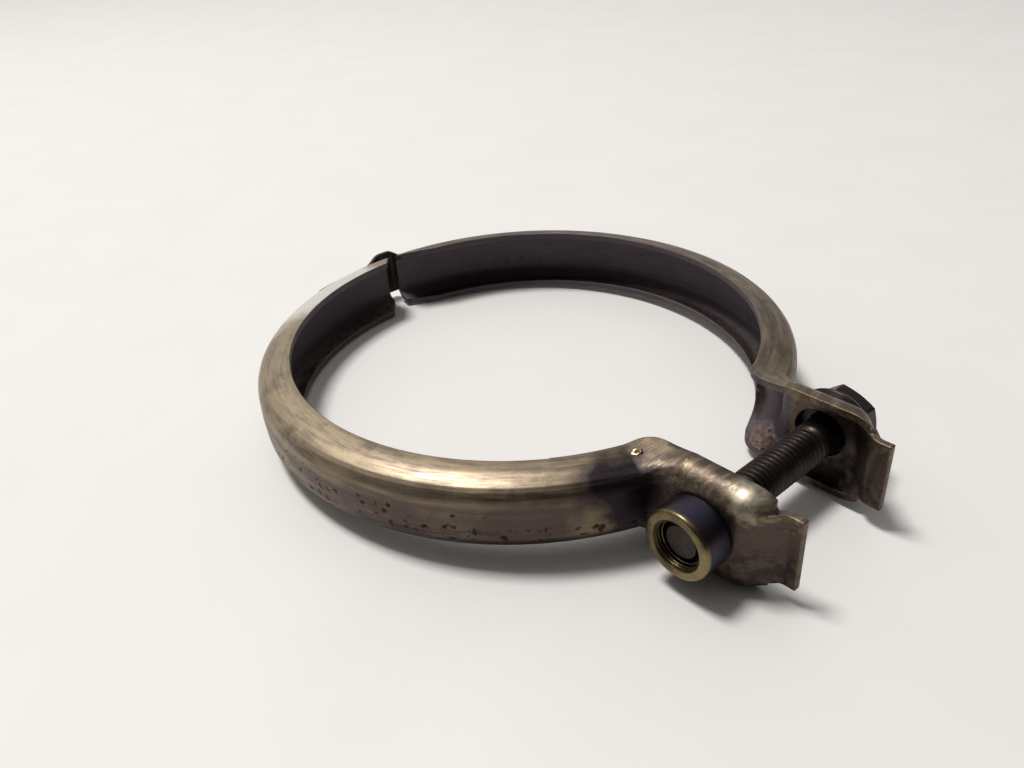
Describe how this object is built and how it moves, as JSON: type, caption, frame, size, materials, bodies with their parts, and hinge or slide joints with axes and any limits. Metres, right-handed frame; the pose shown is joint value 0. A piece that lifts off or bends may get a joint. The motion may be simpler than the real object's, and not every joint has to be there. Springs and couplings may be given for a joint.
{
  "type": "exhaust clamp",
  "caption": "Two-part profiled band clamp that presses two flanged exhaust pipe ends together, closed by one screw and nut through dished ears.",
  "frame": {"origin": "centre of the ring, midway between the inner edges of its two flanks", "axes": "+Z along the ring's axis, ears and screw towards -Y, screw along X with its head towards +X"},
  "size_m": [0.123, 0.1482, 0.0212],
  "materials": {
    "band_steel": "heat tinted, satin",
    "screw_steel": "dark, satin"
  },
  "bodies": {
    "rear_half": {"rear_half_band": "band_steel", "back_strap": "band_steel"},
    "front_half": {"front_half_band": "band_steel"},
    "screw": {"clamp_screw": "screw_steel"},
    "nut": {"round_nut": "screw_steel"}
  },
  "joints": [
    {"name": "screw_turn", "type": "hinge", "parent": "rear_half", "child": "screw", "pos_m": [0, -0.0673, -0.0009], "axis": [-1, 0, 0], "range_deg": [0, 5400]},
    {"name": "nut_travel", "type": "slide", "parent": "rear_half", "child": "nut", "axis": [1, 0, 0], "range_m": [0, 0.0189]},
    {"name": "front_half_swing", "type": "hinge", "parent": "rear_half", "child": "front_half", "pos_m": [0.001, 0.062, 0], "axis": [0, 0, 1], "range_deg": [0, 9.3]}
  ],
  "couplings": [
    {"joint": "nut_travel", "follows": "screw_turn", "m_per_rad": 0.00019894},
    {"joint": "front_half_swing", "follows": "screw_turn", "ratio": 0.0017004}
  ]
}
